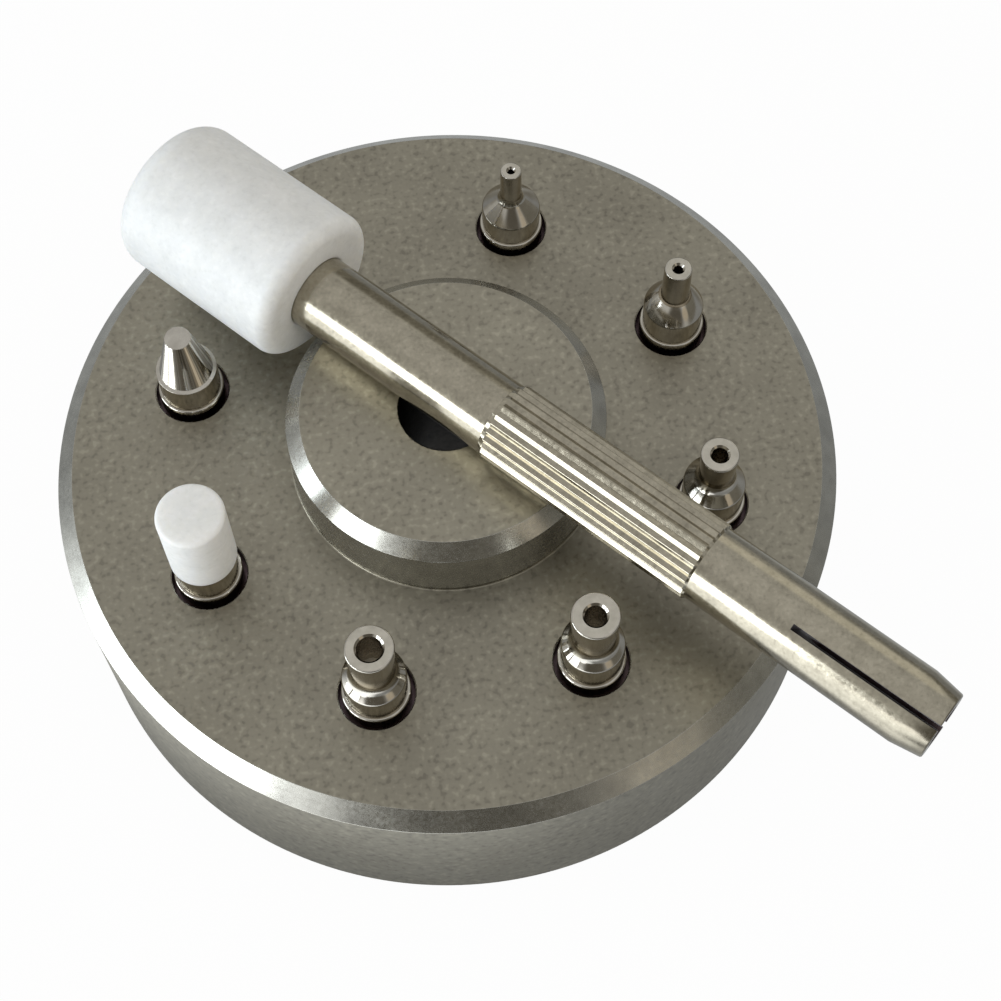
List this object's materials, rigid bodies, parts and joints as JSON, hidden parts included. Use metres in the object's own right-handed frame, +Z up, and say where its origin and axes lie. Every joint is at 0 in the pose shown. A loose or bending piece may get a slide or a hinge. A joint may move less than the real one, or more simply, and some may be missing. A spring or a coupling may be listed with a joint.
{
  "type": "watch case press",
  "caption": "Round steel stake stand with a raised anvil boss, upright stakes in a ring of stations, and a loose hand press tool with a white head lying across the boss.",
  "frame": {"origin": "on the block's axis at its underside, which is the lower mouth of the anvil bore", "axes": "+Z up along the block's axis, -Y the front, midway between the two largest hollow stakes"},
  "size_m": [0.0817, 0.0834, 0.0416],
  "materials": {
    "blasted_steel": "fine bead blasted, with turned bevels",
    "polished_steel": "polished",
    "white_plastic": "satin"
  },
  "bodies": {
    "stand": {"base_block": "blasted_steel"},
    "tube_stake_1": {"tube_stake_1": "polished_steel"},
    "tube_stake_2": {"tube_stake_2": "polished_steel"},
    "tube_stake_3": {"tube_stake_3": "polished_steel"},
    "tube_stake_4": {"tube_stake_4": "polished_steel"},
    "tube_stake_5": {"tube_stake_5": "polished_steel"},
    "pad_stake": {"pad_stake_foot": "polished_steel", "pad_stake_pad": "white_plastic"},
    "point_stake": {"point_stake": "polished_steel"},
    "hand_tool": {"tool_shaft": "polished_steel", "tool_head": "white_plastic"}
  },
  "joints": [
    {"name": "tube_stake_1_lift", "type": "slide", "parent": "stand", "child": "tube_stake_1", "axis": [0, 0, 1], "range_m": [0, 0.016]},
    {"name": "tube_stake_2_lift", "type": "slide", "parent": "stand", "child": "tube_stake_2", "axis": [0, 0, 1], "range_m": [0, 0.016]},
    {"name": "tube_stake_3_lift", "type": "slide", "parent": "stand", "child": "tube_stake_3", "axis": [0, 0, 1], "range_m": [0, 0.016]},
    {"name": "tube_stake_4_lift", "type": "slide", "parent": "stand", "child": "tube_stake_4", "axis": [0, 0, 1], "range_m": [0, 0.016]},
    {"name": "tube_stake_5_lift", "type": "slide", "parent": "stand", "child": "tube_stake_5", "axis": [0, 0, 1], "range_m": [0, 0.016]},
    {"name": "pad_stake_lift", "type": "slide", "parent": "stand", "child": "pad_stake", "axis": [0, 0, 1], "range_m": [0, 0.016]},
    {"name": "point_stake_lift", "type": "slide", "parent": "stand", "child": "point_stake", "axis": [0, 0, 1], "range_m": [0, 0.016]},
    {"name": "hand_tool_lift", "type": "slide", "parent": "stand", "child": "hand_tool", "axis": [0, 0, 1], "range_m": [0, 0.02]}
  ]
}
